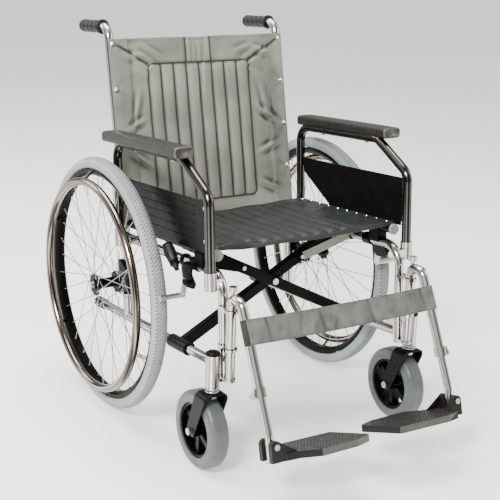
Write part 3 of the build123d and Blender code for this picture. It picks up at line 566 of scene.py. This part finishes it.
# ---- tyres with tread, nipples, valve ----------------------------------------------------------------
for side, s in SIDES:
    centre = at(s * 310.4, 0, 305)
    n, k = 212 * 5, 41
    spin = np.arange(n) * 2 * pi / n
    tip = np.linspace(-1.98, 1.98, k)
    a, b = np.meshgrid(spin, tip, indexing="ij")
    lateral = b * 17.6
    step = np.arange(n)[:, None] % 5 + 0 * b
    shift = (step + 2) % 5
    groove = np.zeros_like(a)
    for centre_line, which in ((0.0, step), (5.2, shift), (-5.2, shift), (10.2, step), (-10.2, step)):
        groove += bell(lateral - centre_line - (which - 2) * 0.5, 1.25) * np.where(which < 3, 1.0, 0.25)
    side_cut = (step == 0) & (np.abs(lateral) > 10.5) & (np.abs(lateral) < 17)
    groove = np.clip(groove + side_cut, 0, 1)
    r = 17.95 - 1.5 * groove - 0.25 * bell(np.abs(lateral) - 21, 1.2)
    x = r * np.sin(b)
    rad = np.maximum(287 + r * np.cos(b), 278.0)
    pts = np.stack([centre.x * 1000 + x, AY * 1000 + rad * np.sin(a), 305 + rad * np.cos(a)], -1)
    pts = pts.reshape(-1, 3) / 1000
    faces = grid_faces(n, k, wrap_n=True)
    seal = [(i * k + k - 1, ((i + 1) % n) * k + k - 1, ((i + 1) % n) * k, i * k) for i in range(n)]
    # the groove values also darken the tread's colour: painted shade in the grooves
    tyre = build(f"{side}_tread", pts, [tuple(f) for f in faces] + seal, MAT["grey_tyre"], True, groove.ravel())
    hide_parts(f"{side}_tyre")
    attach(tyre, f"{side}_wheel")
    parts, skin = [], []
    for q in range(36):
        way = 1 if q % 2 else -1
        lead = 1 if (q // 2) % 2 else -1
        ang = 2 * pi * q / 36
        out = Vector((0, cos(ang), sin(ang)))
        foot = centre + out * 0.2622 + Vector((s * (way * 2.5 + lead * 1.2), 0, 0)) / 1000
        e1, e2 = Vector((1, 0, 0)), Vector((1, 0, 0)).cross(out)
        base = len(parts)
        for t, rr in ((0.0, 2.0), (-1.4, 2.0), (-2.0, 1.4), (-7.0, 1.3), (-8.0, 0.8)):
            for j in range(8):
                parts.append(foot + out * (t / 1000) + (e1 * cos(j * pi / 4) + e2 * sin(j * pi / 4)) * (rr / 1000))
        skin += [tuple(f) for f in grid_faces(5, 8, wrap_k=True, base=base)]
        skin += [tuple(range(base, base + 8)), tuple(range(base + 39, base + 31, -1))]
    nipples = build(f"{side}_nipples", parts, skin, MAT["steel"])
    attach(nipples, f"{side}_wheel")
    valve_dir = Vector((0, cos(2.0), sin(2.0)))
    valve = turned(f"{side}_valve", [(0, 4.2), (-3, 4.2), (-4, 3.0), (-22, 2.8), (-22.5, 3.6), (-32, 3.6), (-34, 2.6)],
                   centre + valve_dir * 0.262, valve_dir, MAT["black_plastic"], 16)
    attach(valve, f"{side}_wheel")

# ---- grips and tipping caps ---------------------------------------------------------------------------
tail = Vector((0, 262.0 - 129.5, 889.0 - 898.0)).normalized()
for side, s in SIDES:
    end = at(s * RAIL_X, 262, 889) + tail * 0.005
    profile, marks = [(0, 11.2), (0, 17.2), (1, 17.8), (3.5, 17.8), (4.5, 16.0)], [0, 0, 0, 0, 1]
    for j in range(8, 102):
        t = float(j)
        groove_at = bell(np.array(((t - 8) % 4.0) - 2.0), 0.75)
        finger = 0.9 * sin((t - 8) / 94 * 4 * 2 * pi - 1.2)
        profile.append((t, 14.6 + finger - 0.7 * float(groove_at)))
        # the groove marks darken the grip's colour in its grooves: painted shade
        marks.append(float(groove_at))
    profile += [(103, 15.2), (105, 15.5), (108, 15.0), (109.6, 12.5), (110, 9.0)]
    marks += [0.5, 0, 0, 0, 0]
    grip = turned(f"{side}_grip", profile, end - tail * 0.110, tail, MAT["grip_rubber"], 44, marks)
    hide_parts(f"{side}_push_grip")
    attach(grip, f"{side}_frame")
    profile, marks = [(0, 11.1), (0, 13.0)], [0, 0]
    for j in range(1, 38):
        ring = float(bell(np.array((j % 6.0) - 3.0), 1.0))
        profile.append((j, 13.5 - 1.3 * ring))
        # the ring marks darken the cap's colour in its grooves: painted shade
        marks.append(ring)
    profile += [(40, 13.4), (42.5, 12.6), (44, 10.5)]
    marks += [0, 0, 0]
    cap = turned(f"{side}_rear_tip", profile, rails(s * RAIL_X, 152, 0), (0, C, -S), MAT["grip_rubber"], 40, marks)
    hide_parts(f"{side}_tipping_cap")
    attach(cap, f"{side}_frame")

# ---- small fittings -----------------------------------------------------------------------------------
for side, s in SIDES:
    body = f"{side}_frame"
    for k, h in enumerate(BACK_SCREWS):
        foot = Vector((s * 0.236, AY + 0.034, 0.440)) + Vector(up_cane) * (h / 1000) + Vector(out_back) * 0.0139
        screw = turned(f"{side}_back_screw_{k}", [(0, 6.8), (1.4, 6.8), (1.8, 5.0), (2.0, 4.8), (3.6, 4.2), (4.7, 2.6),
                                                  (5.0, 1.0)], foot, Vector(out_back), MAT["screw_chrome"], 24)
        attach(screw, body)
    dome = turned(f"{side}_castor_cap", [(0, 15.6), (2.5, 16.2), (5, 15.4), (7.5, 12), (9, 6), (9.4, 1)],
                  at(s * CASTOR_X, CASTOR_Y, 275.5), (0, 0, 1), MAT["black_plastic"], 36)
    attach(dome, body)
    collar = turned(f"{side}_castor_collar", [(0, 14.5), (0.6, 15.6), (5, 15.6), (5.6, 14.6), (6.6, 14.6), (7.2, 15.6),
                                              (11.6, 15.6), (12, 14.6)],
                    at(s * CASTOR_X, CASTOR_Y, 190.4), (0, 0, 1), MAT["steel"], 36)
    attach(collar, f"{side}_castor")
    plug = turned(f"{side}_rail_plug", [(0, 11.0), (0.5, 12.5), (7.5, 12.5), (9.0, 11.4), (9.3, 9.4), (8.7, 8.8),
                                        (8.9, 5.0), (9.0, 0.4)],
                  rails(s * RAIL_X, -423.5, 242), (0, -C, S), PALE_CAP, 36)
    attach(plug, "cross_a" if side == "left" else "cross_b")
    knob_dir = Vector((0, -264 + 302, 469.6 - 433.7)).normalized()
    knob = turned(f"{side}_lock_knob", [(-12, 5.2), (-6, 6.2), (0, 8.6), (10, 11.4), (24, 13.0), (36, 13.4), (46, 12.0),
                                        (53, 8.4), (56, 4.5), (57, 0.6)],
                  at(s * 281, -302, 433.7), knob_dir, MAT["grip_rubber"], 28,
                  ripple=lambda t, q: 1 + 0.015 * cos(9 * q))
    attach(knob, f"{side}_lock")
    for j, (u_, v_) in enumerate(((-424, 345), (-424, 275), (-30, 345), (-110, 441), (-290, 441))):
        on_tube = v_ == 441
        spot = rails(s * (263 if on_tube else 264.4), u_, v_ - 11 if on_tube else v_)
        way = -SCREW_TILT if on_tube else Vector((s, 0, 0))
        bolt = turned(f"{side}_arm_bolt_{j}", [(-1, 4.6), (1.2, 4.6), (2.4, 3.6), (3.0, 1.2)], spot, way,
                      MAT["screw_chrome"], 20)
        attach(bolt, f"{side}_arm")
    repaint(f"{side}_footplate", KNURL, lambda p, n: n.z > 0.9 and abs(p.x) < 221)
    front_end = 206 if s > 0 else 152
    repaint(f"{side}_footplate", FOOT_FRONT,
            lambda p, n: n.y < -0.6 and abs(n.z) < 0.5 and abs(p.x) < front_end)
    low = min(rail_uv(v.co)[0] for v in nodes[f"{side}_stay_link"].data.vertices)
    repaint(f"{side}_stay_link", MAT["screw_chrome"], lambda p, n: rail_uv(p / 1000)[0] < low + 3.3
            and (abs(p.x) - 87.8) ** 2 + (rail_uv(p / 1000)[1] - 165.8) ** 2 < 42)
    if s > 0:
        repaint(f"{side}_stay_link", PALE_STEEL, lambda p, n: n.y < -0.9 and 104 < p.x < 214)
    repaint(f"{side}_castor_fork", MAT["steel"], lambda p, n: 176.5 < p.z < 186 and abs(abs(p.x) - CASTOR_X) < 12
            and abs(p.y - AY * 1000 - CASTOR_Y) < 12)

# ---- floor ----------------------------------------------------------------------------------------------
floor = build("floor", [(-30, -30, 0), (30, -30, 0), (30, 30, 0), (-30, 30, 0)], [(0, 1, 2, 3)], FLOOR, False)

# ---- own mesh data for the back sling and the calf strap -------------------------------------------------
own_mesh(back_piece)
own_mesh(strap)
